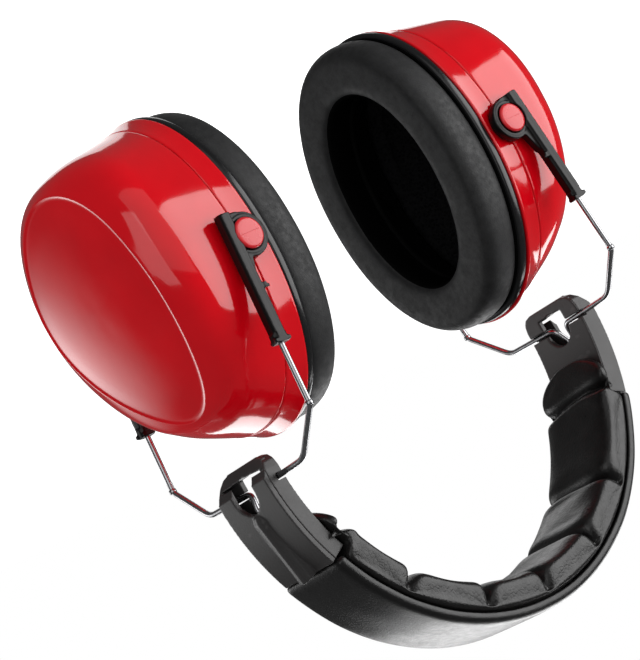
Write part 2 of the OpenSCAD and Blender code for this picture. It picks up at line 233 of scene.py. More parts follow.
RED = glossy_red("cup_gloss_red", (0.74, 0.0008, 0.0075), 0.10)
BUTTON = glossy_red("button_red", (0.70, 0.012, 0.022), 0.26)
HANGER = moulded("hanger_satin", (0.0026, 0.0026, 0.0028), 0.30, 1500, 0.012, worn=1.3, gloss=0.32)
PLATE = moulded("backplate_gloss", (0.006, 0.006, 0.0065), 0.2, 1100, 0.006)
COVER = moulded("end_cover_grey", (0.034, 0.032, 0.032), 0.38, 1300, 0.018, worn=1.3)
BAND = leather("band_vinyl", (0.0055, 0.0053, 0.0054), 0.34, 950, 0.02, 0.03)
PAD = leather("pad_leatherette", (0.006, 0.0055, 0.0054), 0.33, 700, 0.03, 0.02)
SEAL = leather("cushion_vinyl", (0.0115, 0.0116, 0.0123), 0.60, 1050, 0.014, 0.03)
STEEL = drawn_steel("spring_steel")
FOAM = open_foam("foam", (0.012, 0.012, 0.013))
# darker, duller black for the faces inside the ear opening: painted shade, not the cushion's or the plate's
# own colour
PAINTED_SHADE_BLACK = moulded("painted_shade_black", (0.0012, 0.0012, 0.0012), 0.8, 1050, 0.01, worn=1.0, gloss=0.05)


# ---------------------------------------------------------------- mesh helpers

def new_piece(name, verts, faces, mat, mirror=(1, 1, 1), smooth=True):
    """Mesh object from points in mm; an odd number of mirrored axes turns the faces round."""
    mesh = bpy.data.meshes.new(name)
    mx, my, mz = mirror
    pts = [(v[0] * mx * MM, v[1] * my * MM, v[2] * mz * MM) for v in verts]
    if mx * my * mz < 0:
        faces = [tuple(reversed(f)) for f in faces]
    mesh.from_pydata(pts, [], faces)
    mesh.validate()
    if smooth:
        mesh.shade_smooth()
    mesh.update()
    piece = bpy.data.objects.new(name, mesh)
    bpy.context.scene.collection.objects.link(piece)
    mesh.materials.append(mat)
    return piece


def skin(rings, loop=False, caps=True):
    """Faces between equal rings of points; loop joins the last ring to the first."""
    n, m = len(rings[0]), len(rings)
    verts = [p for ring in rings for p in ring]
    faces = []
    for k in range(m if loop else m - 1):
        q = (k + 1) % m
        for i in range(n):
            j = (i + 1) % n
            faces.append((k * n + i, k * n + j, q * n + j, q * n + i))
    if caps and not loop:
        faces.append(tuple(range(n - 1, -1, -1)))
        faces.append(tuple((m - 1) * n + i for i in range(n)))
    return verts, faces


def outward(piece):
    """Turns all faces of a closed piece outward."""
    bm = bmesh.new()
    bm.from_mesh(piece.data)
    bmesh.ops.recalc_face_normals(bm, faces=bm.faces)
    bm.to_mesh(piece.data)
    bm.free()


def signed_pow(v, p):
    return math.copysign(abs(v) ** p, v)


def oval(x, hy, z0, z1, e, n=144):
    """Superellipse across the cup at depth x, from z0 to z1; e is its squareness."""
    pts = []
    for i in range(n):
        a = 2 * math.pi * i / n
        y = hy * signed_pow(math.cos(a), 2 / e)
        z = (z0 + z1) / 2 + (z1 - z0) / 2 * signed_pow(math.sin(a), 2 / e)
        pts.append(Vector((x, y, z)))
    return pts


def spline(rows, steps):
    """Catmull-Rom curve through rows of numbers, with steps points for each span."""
    out = []
    last = len(rows) - 1
    for k in range(last):
        a, b, c, d = rows[max(k - 1, 0)], rows[k], rows[k + 1], rows[min(k + 2, last)]
        for s in range(steps):
            t = s / steps
            out.append([
                0.5 * (2 * q + (r - p) * t + (2 * p - 5 * q + 4 * r - w) * t * t
                       + (3 * q - p - 3 * r + w) * t ** 3)
                for p, q, r, w in zip(a, b, c, d)
            ])
    out.append(list(rows[last]))
    return out


def circle(centre, side, other, radius, sides):
    """Ring of points in the plane of two crossing directions."""
    ring = []
    for i in range(sides):
        a = 2 * math.pi * i / sides
        ring.append(centre + (side * math.cos(a) + other * math.sin(a)) * radius)
    return ring


def tube(path, radius, sides=20):
    """Round bar along a path; radius is one number or one for each point."""
    radii = radius if hasattr(radius, "__len__") else [radius] * len(path)
    last = len(path) - 1
    side = None
    rings = []
    for k, p in enumerate(path):
        t = (path[min(k + 1, last)] - path[max(k - 1, 0)]).normalized()
        if side is None:
            side = t.orthogonal().normalized()
        side = (side - t * side.dot(t)).normalized()
        rings.append(circle(p, side, t.cross(side), radii[k], sides))
    return skin(rings)


def lathe(profile, centre, axis, start, sides=72):
    """Solid of revolution: profile rows are (distance along axis, radius)."""
    axis, start = axis.normalized(), start.normalized()
    other = axis.cross(start)
    return skin([circle(centre + axis * along, start, other, max(r, 0.01), sides) for along, r in profile])


def joined(*parts):
    """Several (points, faces) pairs as one."""
    verts, faces = [], []
    for v, f in parts:
        base = len(verts)
        verts += list(v)
        faces += [tuple(i + base for i in face) for face in f]
    return verts, faces


def block(corner_a, corner_b, place):
    """Box between two corners, in mm, moved by place."""
    (x0, y0, z0), (x1, y1, z1) = corner_a, corner_b
    corners = ((x0, y0), (x1, y0), (x1, y1), (x0, y1))
    verts, faces = skin([[Vector((x, y, z)) for x, y in corners] for z in (z0, z1)])
    return [place @ v for v in verts], faces


def apply_all(piece):
    """Bakes the piece's modifiers into its mesh."""
    graph = bpy.context.evaluated_depsgraph_get()
    done = bpy.data.meshes.new_from_object(piece.evaluated_get(graph))
    piece.modifiers.clear()
    old = piece.data
    piece.data = done
    if old.users == 0:
        bpy.data.meshes.remove(old)
    return piece


def moulding(name, seeds, mat, voxel, rounds=8, keep=0.5):
    """One moulded body: seeds fused by a voxel remesh, edges eased, then thinned out."""
    piece = new_piece(name, *joined(*seeds), mat)
    remesh = piece.modifiers.new("fuse", "REMESH")
    remesh.mode = "VOXEL"
    remesh.voxel_size = voxel * MM
    remesh.use_smooth_shade = True
    ease = piece.modifiers.new("ease", "SMOOTH")
    ease.factor = 0.5
    ease.iterations = rounds
    thin = piece.modifiers.new("thin", "DECIMATE")
    thin.ratio = keep
    apply_all(piece)
    piece.data.shade_smooth()
    return piece


def refine(piece):
    """Bakes one level of subdivision into the piece."""
    fine = piece.modifiers.new("fine", "SUBSURF")
    fine.levels = fine.render_levels = 1
    apply_all(piece)
    piece.data.shade_smooth()


def cad_seed(node):
    """A CAD node's own surface, as a seed in mm."""
    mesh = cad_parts[node].data
    return [v.co / MM for v in mesh.vertices], [tuple(f.vertices) for f in mesh.polygons]


def mirrored(piece, name, mx, my):
    """A copy of a finished piece, mirrored in X and Y."""
    mesh = piece.data.copy()
    mesh.transform(Matrix.Diagonal((mx, my, 1, 1)))
    if mx * my < 0:
        mesh.flip_normals()
    twin = bpy.data.objects.new(name, mesh)
    bpy.context.scene.collection.objects.link(twin)
    return twin


def settle(piece, body, slot, *nodes):
    """Gives a finished piece its body and hides the nodes it stands for; slot is not used."""
    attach(piece, body)
    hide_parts(*nodes)
    return piece


# ---------------------------------------------------------------- ear cups

# depth, half width, low end, high end and squareness of the cup's outer wall
STATIONS = [
    (62.72, 38.32, -52.80, 52.40, 2.15),
    (67.0, 38.35, -51.7, 50.4, 2.25),
    (74.0, 38.45, -50.5, 47.0, 2.35),
    (80.0, 38.5, -49.6, 43.0, 2.4),
]
# the same for the bottom of its inner wall
INNER = [
    (62.72, 35.8, -50.3, 49.9, 2.15),
    (67.0, 35.8, -49.2, 47.9, 2.25),
    (73.7, 35.9, -48.0, 44.5, 2.35),
    (79.3, 36.0, -47.1, 40.5, 2.4),
    (83.5, 35.7, -46.2, 32.2, 2.4),
    (87.5, 33.5, -44.9, 22.0, 2.4),
    (90.5, 29.5, -42.1, 10.0, 2.3),
    (92.0, 23.5, -36.5, -4.0, 2.2),
]


CREASE_Z = -2          # height of the middle of the crease round the face
CREASE_HALF = 30.0     # its half width
CREASE_LOW = 40        # how far it reaches below its middle
CREASE_HIGH = 42.5     # how far it reaches above its middle
CREASE_NIP = 0.13      # share by which its high end is narrower
FACE_X = 95.4          # depth of the flat part of the face
FACE_FALL_Z = -20      # height from which the face falls away
FACE_FALL_RUN = 50     # it falls by FACE_FALL over this height, ever faster
FACE_FALL = 8.7
# how far in from the crease, and how far the face stands above its falling line
FACE_ROWS = (
    (0.992, -0.04), (0.984, -0.2), (0.972, -0.3), (0.95, -0.24), (0.91, -0.02), (0.85, 0.3), (0.77, 0.6),
    (0.67, 0.88), (0.55, 1.12), (0.42, 1.32), (0.28, 1.45), (0.14, 1.52), (0.03, 1.54),
)
SHOULDER_STEPS = 18    # rings between the side wall and the crease
BOSS_SEEN_Y = 38.3     # the pivot boss is red beyond this distance from the middle
STUD_PAINTED_SHADE_Y = 38       # the button's stud is red beyond this distance, and painted black inside it as shade


def crease_point(a):
    """The crease round the cup's face, blunt at its low end and drawn out at its high end."""
    s, c = math.sin(a), math.cos(a)
    reach = CREASE_HIGH if s > 0 else CREASE_LOW
    return CREASE_HALF * c * (1 - CREASE_NIP * max(0.0, s) ** 1.5), CREASE_Z + reach * s


def face_x(z):
    """The face is flat at its low end and falls away towards its high end."""
    fall = max(0.0, (z - FACE_FALL_Z) / FACE_FALL_RUN)
    return FACE_X - FACE_FALL * fall ** 2


def shrunk(row, factors):
    """Ovals that close the row towards its middle."""
    x, hy, z0, z1, e = row
    mid, half = (z0 + z1) / 2, (z1 - z0) / 2
    return [oval(x, hy * k, mid - half * k, mid + half * k, e) for k in factors]


def cup_rings():
    """Outer skin of a right cup, from its seam to the middle of its face."""
    edge = STATIONS[0]
    rings = [oval(edge[0], edge[1] - 0.45, edge[2] + 0.45, edge[3] - 0.45, edge[4]),
             oval(edge[0] + 0.08, edge[1] - 0.12, edge[2] + 0.12, edge[3] - 0.12, edge[4]),
             oval(edge[0] + 0.35, edge[1], edge[2] + 0.05, edge[3] - 0.05, edge[4])]
    rings += [oval(*row) for row in spline(STATIONS, 6) if row[0] > edge[0] + 0.4]
    base, before = rings[-1], rings[-2]
    crease = []
    for i in range(len(base)):
        y, z = crease_point(2 * math.pi * i / len(base))
        crease.append(Vector((face_x(z), y, z)))
    for step in range(1, SHOULDER_STEPS + 1):
        t = step / SHOULDER_STEPS
        u = 1 - t
        ring = []
        for p, q, c in zip(base, before, crease):
            run = c.x - p.x
            out = Vector((0, p.y - c.y, p.z - c.z))
            along = (p - q).normalized()
            lead = p + along * run * 0.66 / max(along.x, 0.5)
            land = c + out * 0.50 - Vector((run * 0.16 + 0.5, 0, 0))
            ring.append(p * u ** 3 + lead * 3 * t * u ** 2 + land * 3 * t * t * u + c * t ** 3)
        rings.append(ring)
    for shrink, rise in FACE_ROWS:
        ring = []
        for c in crease:
            y, z = c.y * shrink, CREASE_Z + (c.z - CREASE_Z) * shrink
            ring.append(Vector((face_x(z) + rise, y, z)))
        rings.append(ring)
    return rings


def cup_inside():
    """Inner wall of a right cup, from its seam to the middle of its floor."""
    x, *rest = INNER[-1]
    return [oval(*row) for row in spline(INNER, 3)] + shrunk((x + 0.2, *rest), (0.8, 0.5, 0.2, 0.03))


def pivot_boss(end):
    axis = Vector((0, end, 0))
    profile = [(35.6, 5.9), (38.9, 6.0), (39.1, 5.85), (39.2, 5.6), (39.2, 3.2), (38.6, 3.1), (36, 3.05)]
    return lathe(profile, Vector((PIVOT_X, 0, 0)), axis, Vector((1, 0, 0)))


def make_cup(side):
    """One shell: gloss red outside, black inside."""
    s = SIDES[side]
    outer, inner = cup_rings(), cup_inside()
    walls = skin(list(reversed(outer)) + inner)
    shell = new_piece(f"{side}_shell", *joined(walls, pivot_boss(1), pivot_boss(-1)), RED, (s, 1, 1))
    shell.data.materials.append(PLATE)
    n = len(outer[0])
    first, last = (len(outer) - 1) * n, (len(outer) + len(inner) - 1) * n
    for face in shell.data.polygons[:last + 2]:
        if first <= face.index < last or face.index == last + 1:
            face.material_index = 1
    for face in shell.data.polygons[last + 2:]:
        if abs(face.center.y) < BOSS_SEEN_Y * MM:
            face.material_index = 1
    outward(shell)
    return settle(shell, f"{side}_cup", "cup_red", f"{side}_cup_shell")


def make_rim(side):
    """Red band between the backplate and the shell, notched round the two pivots."""
    s = SIDES[side]
    # depth, half width, middle, half height and squareness at its two edges
    low, high = (54.35, 38.6, 0.4, 55.6, 2.1), (62.48, 38.3, -0.2, 52.6, 2.15)

    def ring(x, inset, t):
        hy, cz, hz, e = (a + (b - a) * t for a, b in zip(low[1:], high[1:]))
        belly = 0.25 * math.sin(math.pi * t)
        return oval(x, hy - inset - belly, cz - hz + inset + belly, cz + hz - inset - belly, e)

    span = high[0] - low[0]
    rows = [(low[0], 2.4, 0), (low[0], 0.6, 0), (low[0] + 0.12, 0.2, 0.01), (low[0] + 0.5, 0.0, 0.05)]
    rows += [(low[0] + span * t, 0, t) for t in (0.12, 0.2, 0.3, 0.45, 0.6, 0.75, 0.88)]
    rows += [(high[0] - 0.35, 0.0, 0.96), (high[0] - 0.08, 0.14, 0.99)]
    rows += [(high[0], 0.5, 1), (high[0], 2.4, 1)]
    rings = [ring(*row) for row in rows]
    piece = new_piece(f"{side}_rim", *skin(rings, loop=True), RED, (s, 1, 1))
    piece.data.materials.append(PLATE)
    for face in piece.data.polygons[-len(rings[0]):]:
        face.material_index = 1
    outward(piece)
    for end in (1, -1):
        cut = new_piece("cut", *lathe([(30, 6.3), (45, 6.3)], Vector((PIVOT_X * s, 0, 0)),
                                      Vector((0, end, 0)), Vector((1, 0, 0))), RED)
        outward(cut)
        notch = piece.modifiers.new("notch", "BOOLEAN")
        notch.operation = "DIFFERENCE"
        notch.solver = "EXACT"
        notch.object = cut
        apply_all(piece)
        bpy.data.objects.remove(cut)
    return settle(piece, f"{side}_cup", "cup_red", f"{side}_cup_rim")


def make_backplate(side):
    """Plate behind the cushion: a flange seen from outside and a lip round the ear opening in painted
    shade.
    """
    s = SIDES[side]
    rows = [
        (53.9, 24.0, 37.7), (51.3, 24.0, 37.7), (50.95, 24.4, 38.1), (50.95, 36.9, 53.5),
        (51.0, 37.5, 54.25), (51.2, 37.9, 54.8), (51.6, 38.12, 55.06), (52.3, 38.2, 55.15),
        (53.2, 38.2, 55.15), (53.7, 38.1, 55.05), (53.95, 37.85, 54.8), (54.28, 37.7, 54.6),
        (54.28, 34.9, 50.7), (57.2, 34.8, 50.6), (57.25, 33.0, 49.0), (54.2, 32.9, 48.9),
    ]
    rings = [oval(x, hy, -hz, hz, 2.1) for x, hy, hz in rows]
    piece = new_piece(f"{side}_seal_plate", *skin(rings, loop=True), PLATE, (s, 1, 1))
    piece.data.materials.append(PAINTED_SHADE_BLACK)
    n = len(rings[0])
    # every face but the flange's gets the darker painted-shade black
    flange_rows = range(3, 11)
    for face in piece.data.polygons:
        if face.index // n not in flange_rows:
            face.material_index = 1
    outward(piece)
    return settle(piece, f"{side}_cup", "backplate_black", f"{side}_backplate")


def simulate(piece, frames, pressure, pin, cap, grow=0.0, stiff=8.0, bend=0.8, mass=0.25):
    """Blows the piece up as cloth, then limits how far each point may have moved, in mm."""
    rest = [v.co.copy() for v in piece.data.vertices]
    group = piece.vertex_groups.new(name="held")
    for index, weight in pin.items():
        group.add([index], weight, "REPLACE")
    cloth = piece.modifiers.new("cloth", "CLOTH")
    settings = cloth.settings
    settings.quality = 6
    settings.mass = mass
    settings.use_pressure = True
    settings.uniform_pressure_force = pressure
    settings.tension_stiffness = stiff
    settings.compression_stiffness = stiff
    settings.shear_stiffness = stiff * 0.6
    settings.bending_stiffness = bend
    settings.shrink_min = -grow
    settings.vertex_group_mass = "held"
    settings.pin_stiffness = 1.0
    settings.effector_weights.gravity = 0
    cloth.collision_settings.use_collision = False
    cloth.point_cache.frame_start = 1
    cloth.point_cache.frame_end = frames
    scene = bpy.context.scene
    scene.frame_start, scene.frame_end = 1, frames
    for step in range(1, frames + 1):
        scene.frame_set(step)
    apply_all(piece)
    scene.frame_set(1)
    for v, old in zip(piece.data.vertices, rest):
        move = v.co - old
        if move.length > cap * MM:
            v.co = old + move.normalized() * cap * MM
    piece.data.update()
    return piece


PAINTED_SHADE_ROW = 16        # the cushion's rows from here on lie inside the ear opening and get the darker painted-shade black


def make_cushion(side):
    """Foam-filled ring: a broad face, a soft edge, a full side and a welded tail at the backplate."""
    s = SIDES[side]
    n = 128
    # depth, half width, half height and how freely the row may move
    rows = [
        (50.7, 36.2, 52.8, 0.0), (49.6, 36.8, 53.5, 0.3), (47.6, 37.2, 54.0, 1.0), (45.2, 37.3, 54.1, 1.0),
        (42.8, 37.2, 54.0, 1.0), (40.9, 36.9, 53.6, 0.8), (39.5, 36.4, 53.0, 0.5), (38.4, 35.7, 52.1, 0.4),
        (37.6, 34.8, 51.0, 0.3), (37.15, 33.6, 49.6, 0.3), (37.0, 32.1, 47.8, 0.5), (37.0, 30.2, 45.6, 0.8),
        (37.0, 28.2, 43.2, 0.8), (37.0, 26.2, 40.9, 0.6),
        (37.12, 24.7, 39.1, 0.4), (37.45, 23.6, 37.8, 0.3),
        (38.1, 22.8, 36.9, 0.3), (39.0, 22.4, 36.4, 0.4), (40.4, 22.2, 36.1, 0.6), (42.6, 22.1, 36.0, 0.8),
        (45.2, 22.1, 36.0, 0.8), (48.0, 22.3, 36.2, 0.5), (50.2, 22.8, 36.7, 0.0), (50.7, 24.8, 38.8, 0.0),
        (50.75, 29.0, 43.6, 0.0), (50.75, 32.8, 48.4, 0.0),
    ]
    rings = [oval(x, hy, -hz, hz, 2.06, n) for x, hy, hz, _ in rows]
    piece = new_piece(f"{side}_ear_cushion", *skin(rings, loop=True), SEAL, (s, 1, 1))
    outward(piece)
    # faces inside the ear opening get a darker, duller copy of the black: painted shade
    piece.data.materials.append(PAINTED_SHADE_BLACK)
    for face in piece.data.polygons:
        if PAINTED_SHADE_ROW * n <= face.index:
            face.material_index = 1
    held = {k * n + i: 1 - row[3] for k, row in enumerate(rows) if row[3] < 1 for i in range(n)}
    simulate(piece, 16, 1.6, held, 0.7, stiff=12, bend=4.0)
    # shallow creases where the skin is stressed round the tight ends
    for v in piece.data.vertices:
        p = v.co / MM
        along = math.atan2(p.z / 1.45, p.y)
        depth = abs(p.x)
        waver = noise.noise(Vector((p.y * 0.09, p.z * 0.09, depth * 0.05 + 4 * s)))
        inner = math.hypot(p.y / 23.5, p.z / 37.2)
        ripple = noise.noise(Vector((along * 9, 3.1 * s, depth * 0.02)))
        pucker = max(0, 1 - abs(inner - 1.05) / 0.22) * ripple
        v.co.x += -s * (0.12 * waver + 0.16 * pucker) * MM * (1 if depth < 46 else 0)
    refine(piece)
    return settle(piece, f"{side}_cup", "cushion_vinyl", f"{side}_cushion_cover", f"{side}_cushion_foam")


def make_liner(side):
    """Foam pad pressed into the bottom of the cup, its front dished and pitted."""
    s = SIDES[side]
    gap, thick = 0.45, 6
    rows = spline([(x - gap, hy - gap, z0 + gap, z1 - gap, e) for x, hy, z0, z1, e in INNER[2:]], 3)
    back = [oval(*row) for row in rows] + shrunk(rows[-1], (0.7, 0.35, 0.03))
    front = []
    for k, (x, hy, z0, z1, e) in enumerate(rows[:-2]):
        inset = thick * min(1, 0.2 + k / 5)
        front.append(oval(x - 0.5 - thick * min(1, k / 5), hy - inset, z0 + inset, z1 - inset, e))
    x, hy, z0, z1, e = rows[-3]
    floor_row = (x - thick - 0.2, hy - thick, z0 + thick, z1 - thick, e)
    front += shrunk(floor_row, (0.8, 0.6, 0.4, 0.2, 0.03))
    verts, faces = skin(list(reversed(front)) + back)
    verts = [v + Vector((0.45, 0.2, 0.2)) * noise.noise(v * 0.3) - Vector((0.3, 0, 0)) for v in verts]
    piece = new_piece(f"{side}_liner", verts, faces, FOAM, (s, 1, 1))
    outward(piece)
    return settle(piece, f"{side}_cup", "foam", f"{side}_foam_liner")


def make_button(side, end):
    """Press-in button: domed head with a rounded edge, a moulding witness line and a barbed stud."""
    s, e = SIDES[side], ENDS[end]
    profile = [
        (36.2, 0), (36.2, 2.6), (36.5, 2.95), (42.15, 2.95),
        (42.2, 4.7), (42.28, 4.98), (42.5, 5.14), (42.8, 5.16), (43.1, 5.06), (43.35, 4.8), (43.5, 4.4),
        (43.62, 3.6), (43.68, 2.6), (43.72, 1.4), (43.74, 0.4), (43.74, 0),
    ]
    verts, faces = lathe(profile, Vector((PIVOT_X, 0, 0)), Vector((0, 1, 0)), Vector((1, 0, 0)), 96)
    spans, reach, sag = 16, 3.7, 0.0095 * 0.15
    ridge = []
    for k in range(spans + 1):
        x = -reach * math.cos(k / spans * math.pi)
        ridge.append(Vector((PIVOT_X + x, 43.70 - sag * x * x * abs(x), 0.0)))
    line = tube(ridge, [0.02] + [0.075] * (spans - 1) + [0.02], 8)
    piece = new_piece(f"{side}_{end}_pivot_button", *joined((verts, faces), line), BUTTON, (s, e, 1))
    piece.data.materials.append(PLATE)
    # the stud's end inside the cup is painted black: painted shade
    for face in piece.data.polygons:
        if abs(face.center.y) < STUD_PAINTED_SHADE_Y * MM:
            face.material_index = 1
    outward(piece)
    return settle(piece, f"{side}_cup", "button_red", f"{side}_{end}_button")


# ---------------------------------------------------------------- spring wires

def at_rod(along, out=0.0, y=0.0):
    """Point beside the right front rod: along it from the hanger's mouth, outward, and up from its axis."""
    return MOUTH + ROD_DIR * along + ROD_OUT * out + Vector((0, y, 0))


def bent(a, p, b, d, n=6):
    """Rounded corner at p between a and b, starting d before it."""
    u = p + (a - p).normalized() * d
    v = p + (b - p).normalized() * d
    return [u * (1 - t) ** 2 + p * 2 * t * (1 - t) + v * t * t for t in (i / n for i in range(n + 1))]


def lane(angle, y):
    """Point of a wire inside the band."""
    a = math.radians(angle)
    return Vector((LANE_R * math.cos(a), y, BAND_CZ + LANE_R * math.sin(a)))


def wire_half(y):
    """Right half of a wire: hanger rod, bend, shoulder and the turn up into the band."""
    bend = at_rod((BEND_Z - MOUTH.z) / math.cos(ROD_LEAN))
    shoulder = Vector((75.8, 27.7, 67.4))
    turn = Vector((75.9, 3.4, 68))
    rise = lane(6, y)
    start = at_rod(-24)
    path = [start + (bend - start) * t for t in (0, 0.02, 0.25, 0.5, 0.75)]
    path += bent(start, bend, shoulder, 1.6)
    path += bent(bend, shoulder, turn, 3)
    path += bent(shoulder, turn, rise, 2.4)
    return path + [rise], bend


def make_wire(end):
    e = ENDS[end]
    half, bend = wire_half(WIRE_Y)
    flip = [Vector((-p.x, p.y, p.z)) for p in reversed(half)]
    path = half + [lane(a, WIRE_Y) for a in range(9, 172, 3)] + flip
    radii = [WIRE_R] * len(path)
    radii[0] = radii[-1] = WIRE_R * 0.75
    parts = [tube(path, radii, 24)]
    collar = [(-0.8, 0.96), (-0.72, 1.12), (-0.45, 1.26), (0, 1.3), (0.45, 1.26), (0.72, 1.12), (0.8, 0.96)]
    for m in (1, -1):
        rod = Vector((ROD_DIR.x * m, 0, ROD_DIR.z))
        centre = Vector((bend.x * m, bend.y, bend.z)) - rod * 0.4
        parts.append(lathe(collar, centre, rod, Vector((0, 1, 0)), 28))
    piece = new_piece(f"{end}_wire", *joined(*parts), STEEL, (1, e, 1))
    outward(piece)
    return settle(piece, "headband", "spring_steel", f"{end}_spring_wire")


# ---------------------------------------------------------------- hangers

def rod_frame():
    """Frame at the hanger's mouth: X outward, Y to the front, Z along the rod."""
    turn = Matrix((ROD_OUT, Vector((0, 1, 0)), ROD_DIR)).transposed().to_4x4()
    return Matrix.Translation(at_rod(0, 0, 0.1)) @ turn


# opposite corners of the details moulded onto the hanger's bar
HANGER_DETAILS = (
    # raised rib down the outer edge
    ((0.4, 1.6, -42.6), (1.9, 2.28, -3.4)),
    # flared lip and nubs at the mouth
    ((-2.5, -2.1, -1.3), (2.5, 2.2, -0.2)),
    ((-2.9, 0.9, -1.6), (-2.2, 2.2, -0.3)),
    ((2.2, 0.9, -1.6), (3.0, 2.2, -0.3)),
    # clip on the inner edge, half-way along
    ((-3.3, 0.9, -19.2), (-2.0, 2.2, -17.4)),
    ((-4.1, 1.2, -18.4), (-3.0, 2.1, -17.4)),
    # hooked end beyond the eye
    ((-5.4, -2.0, -42.9), (-1.9, 0.5, -40.4)),
    ((-5.6, -2.0, -42.9), (-4.2, 0.5, -38.6)),
)


def raised_eye():
    """Low rim round the pivot eye."""
    profile = [(41.6, 5.5), (42.15, 5.5), (42.35, 5.65), (42.35, 6.25), (42.2, 6.45), (41.6, 6.55)]
    across, up = Vector((1, 0, 0)), Vector((0, 0, 1))
    return skin([circle(Vector((PIVOT_X, y, 0)), across, up, r, 96) for y, r in profile], loop=True)


def make_hangers():
    place = rod_frame()
    seeds = [cad_seed("right_front_hanger")]
    seeds += [block(low, high, place) for low, high in HANGER_DETAILS]
    seeds.append(raised_eye())
    first = moulding("right_front_arm", seeds, HANGER, 0.26, 5, 0.45)
    made = [(first, "right", "front")]
    for side, s in SIDES.items():
        for end, e in ENDS.items():
            if (side, end) != ("right", "front"):
                made.append((mirrored(first, f"{side}_{end}_arm", s, e), side, end))
    for piece, side, end in made:
        settle(piece, f"{side}_hangers", "hanger_black", f"{side}_{end}_hanger")


# ---------------------------------------------------------------- end covers

def make_end_covers():
    for half in ("outer", "inner"):
        first = moulding(f"right_cover_{half}", [cad_seed(f"right_end_cover_{half}")], COVER, 0.24, 6, 0.4)
        twin = mirrored(first, f"left_cover_{half}", -1, -1)
        settle(first, "headband", "end_cover_grey", f"right_end_cover_{half}")
        settle(twin, "headband", "end_cover_grey", f"left_end_cover_{half}")


# ---------------------------------------------------------------- band cover and pad

def on_arc(angle, r, y):
    """Point on the headband, by its angle, distance from the arc's centre and place across."""
    a = math.radians(angle)
    return Vector((r * math.cos(a), y, BAND_CZ + r * math.sin(a)))


def make_band_cover():
    """Vinyl sleeve over the wires: crowned outside, rolled edges, a hem that the pad tucks under."""
    w = BAND_HALF
    profile = [
        (79.6, w - 1.5), (79.0, w - 1.3), (78.6, w - 0.95), (78.5, w - 0.6), (78.65, w - 0.25),
        (79.0, w - 0.05), (79.7, w), (80.4, w - 0.05), (81.2, w - 0.35), (81.75, w - 1.0), (81.98, w - 2.0),
    ]
    top = [(82.05 + 0.12 * math.cos(math.pi * y / 26), y) for y in (13, 10.5, 8, 5, 2.5)]
    near = profile + [(r, y) for r, y in top if y < w - 2.4]
    outer = near + [(82.17, 0.0)] + [(r, -y) for r, y in reversed(near)]
    under = [(79.6, -(w - 2.6)), (79.7, -8), (79.7, 0), (79.7, 8), (79.6, w - 2.6)]
    loop = outer + under
    rings = []
    steps = 150
    start, stop = SEAM_A + 0.1, 180 - SEAM_A - 0.1
    for k in range(steps + 1):
        t = k / steps
        angle = start + (stop - start) * t
        end = min(k, steps - k)
        close = {0: 0.55, 1: 0.15}.get(end, 0.0)
        ring = []
        for r, y in loop:
            sway = 0.16 * noise.noise(Vector((angle * 0.11, y * 0.12, 2.3))) if end > 2 else 0
            rr = r + sway - (close if r > 81 else 0)
            ring.append(on_arc(angle, rr, y * (1 - close * 0.02)))
        rings.append(ring)
    piece = new_piece("band_cover", *skin(rings), BAND)
    outward(piece)
    refine(piece)
    return settle(piece, "headband", "band_vinyl", "band_outer_cover")


# angles of the gathers that divide the pad into pillows
FOLDS = [24, 52, 73, 95, 114, 137, 160]
FOLD_LIPS = (0.6, 1.25)            # width of a gather's steep and slack lips, degrees
FOLD_PULL = 5.2                    # depth of a gather in the middle of the pad
FOLD_EDGE_PULL = 2.4               # how much deeper it is at the pad's edges
FOLD_NIP = 2.9                     # how much narrower the pad is in a gather
STITCHED, SLACK = 0.45, 1.2        # degrees from a gather that are held fast, and half held
PAD_START, PAD_STOP = 12.5, 167.5  # angles at the tips of the pad's tongues
PAD_HALF = 16.9                    # half width of a pillow
PAD_TUCK = 15.2                    # half width where it lies inside the band cover's hem
PAD_TOP_R = 79.1                   # radius of its hidden side under the band cover
TONGUE_TOP_R = 73.7                # the same inside the end covers


def gathered(angle, y):
    """0 in the nearest gather, rising to 1 on a pillow, with one lip steeper than the other."""
    place = angle + 0.07 * y + 0.5 * math.sin(0.23 * y + angle * 0.05)
    nearest = min(FOLDS, key=lambda f: abs(place - f))
    gap = place - nearest
    steep, slack = FOLD_LIPS
    width = steep if gap > 0 else slack
    return 1 - math.exp(-abs(gap) / width), abs(gap)


